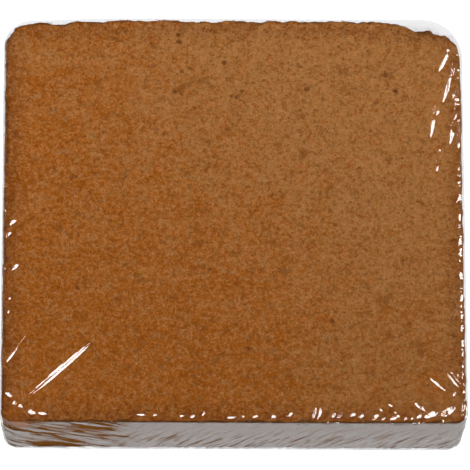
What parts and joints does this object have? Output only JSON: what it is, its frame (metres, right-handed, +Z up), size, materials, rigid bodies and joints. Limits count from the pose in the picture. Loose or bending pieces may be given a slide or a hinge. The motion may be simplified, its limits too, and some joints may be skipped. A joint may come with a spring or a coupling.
{
  "type": "coconut coir bale",
  "caption": "Compressed brick of brown coconut coir sealed in a tight, clear, wrinkled shrink-film bag.",
  "frame": {"origin": "middle of the underside, where the bale rests", "axes": "+X along the longer side to the bale's right, +Y to the back, +Z up through the bale's thickness"},
  "size_m": [0.3019, 0.2722, 0.0865],
  "materials": {
    "pressed_coir": "dry pressed coir pith, matt and granular, redder and crumbly along the edges",
    "clear_film": "thin clear shrink film, glossy, with tight creases and puckers"
  },
  "bodies": {
    "root": {"coir_block": "pressed_coir", "shrink_film": "clear_film"}
  },
  "joints": []
}
